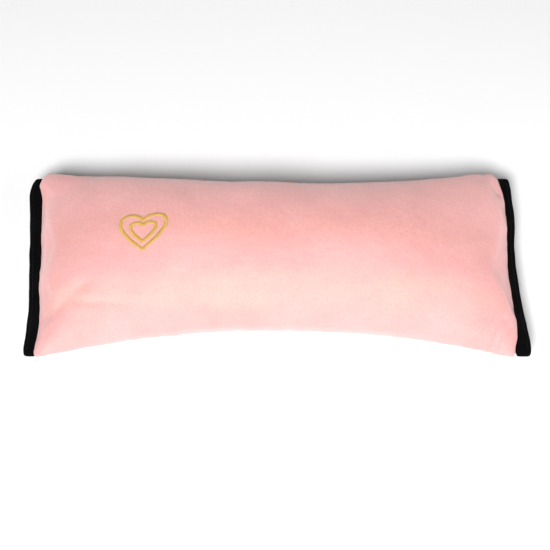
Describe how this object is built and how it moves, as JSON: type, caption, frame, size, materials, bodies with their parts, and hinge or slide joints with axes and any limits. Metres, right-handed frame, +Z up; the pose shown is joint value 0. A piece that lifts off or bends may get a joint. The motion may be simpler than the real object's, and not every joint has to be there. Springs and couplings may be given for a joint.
{
  "type": "seat belt pillow",
  "caption": "Stuffed plush seat-belt pillow with a black sleeve whose two hook-and-loop flaps close round the belt.",
  "frame": {"origin": "under the middle of the pillow, on the surface it lies on", "axes": "+X along the pillow, away from the embroidered motif's end; +Y to the rear long side, whose flap is the outer one; +Z up through the crown"},
  "size_m": [0.3, 0.12, 0.08],
  "materials": {
    "pink_plush": "short-pile minky plush",
    "black_cloth": "plain woven polyester",
    "black_binding": "folded woven binding",
    "white_fibre": "loose polyester fibre",
    "hook_tape": "nylon hooks",
    "loop_tape": "nylon loops",
    "black_thread": "polyester thread",
    "gold_thread": "satin stitch in rayon thread"
  },
  "bodies": {
    "pillow": {"front_cover": "pink_plush", "back_panel": "black_cloth", "fibre_filling": "white_fibre", "perimeter_seam_thread": "black_thread", "left_end_trim": "black_binding", "right_end_trim": "black_binding", "embroidered_heart": "gold_thread", "embroidered_inner_heart": "gold_thread", "rear_flap_root": "black_cloth", "rear_flap_root_left_binding": "black_binding", "rear_flap_root_right_binding": "black_binding", "front_flap_root": "black_cloth", "front_flap_root_left_binding": "black_binding", "front_flap_root_right_binding": "black_binding"},
    "rear_flap": {"rear_flap": "black_cloth", "rear_flap_left_binding": "black_binding", "rear_flap_right_binding": "black_binding", "hook_tape": "hook_tape", "hook_tape_thread": "black_thread"},
    "front_flap": {"front_flap": "black_cloth", "front_flap_left_binding": "black_binding", "front_flap_right_binding": "black_binding", "loop_tape": "loop_tape", "loop_tape_thread": "black_thread"}
  },
  "joints": [
    {"name": "rear_flap_fold", "type": "hinge", "parent": "pillow", "child": "rear_flap", "pos_m": [0, 0.026, 0], "axis": [1, 0, 0], "range_deg": [0, 165]},
    {"name": "front_flap_fold", "type": "hinge", "parent": "pillow", "child": "front_flap", "pos_m": [0, -0.026, 0], "axis": [1, 0, 0], "range_deg": [-72, 0]}
  ],
  "couplings": [
    {"joint": "front_flap_fold", "follows": "rear_flap_fold", "ratio": -0.42}
  ]
}
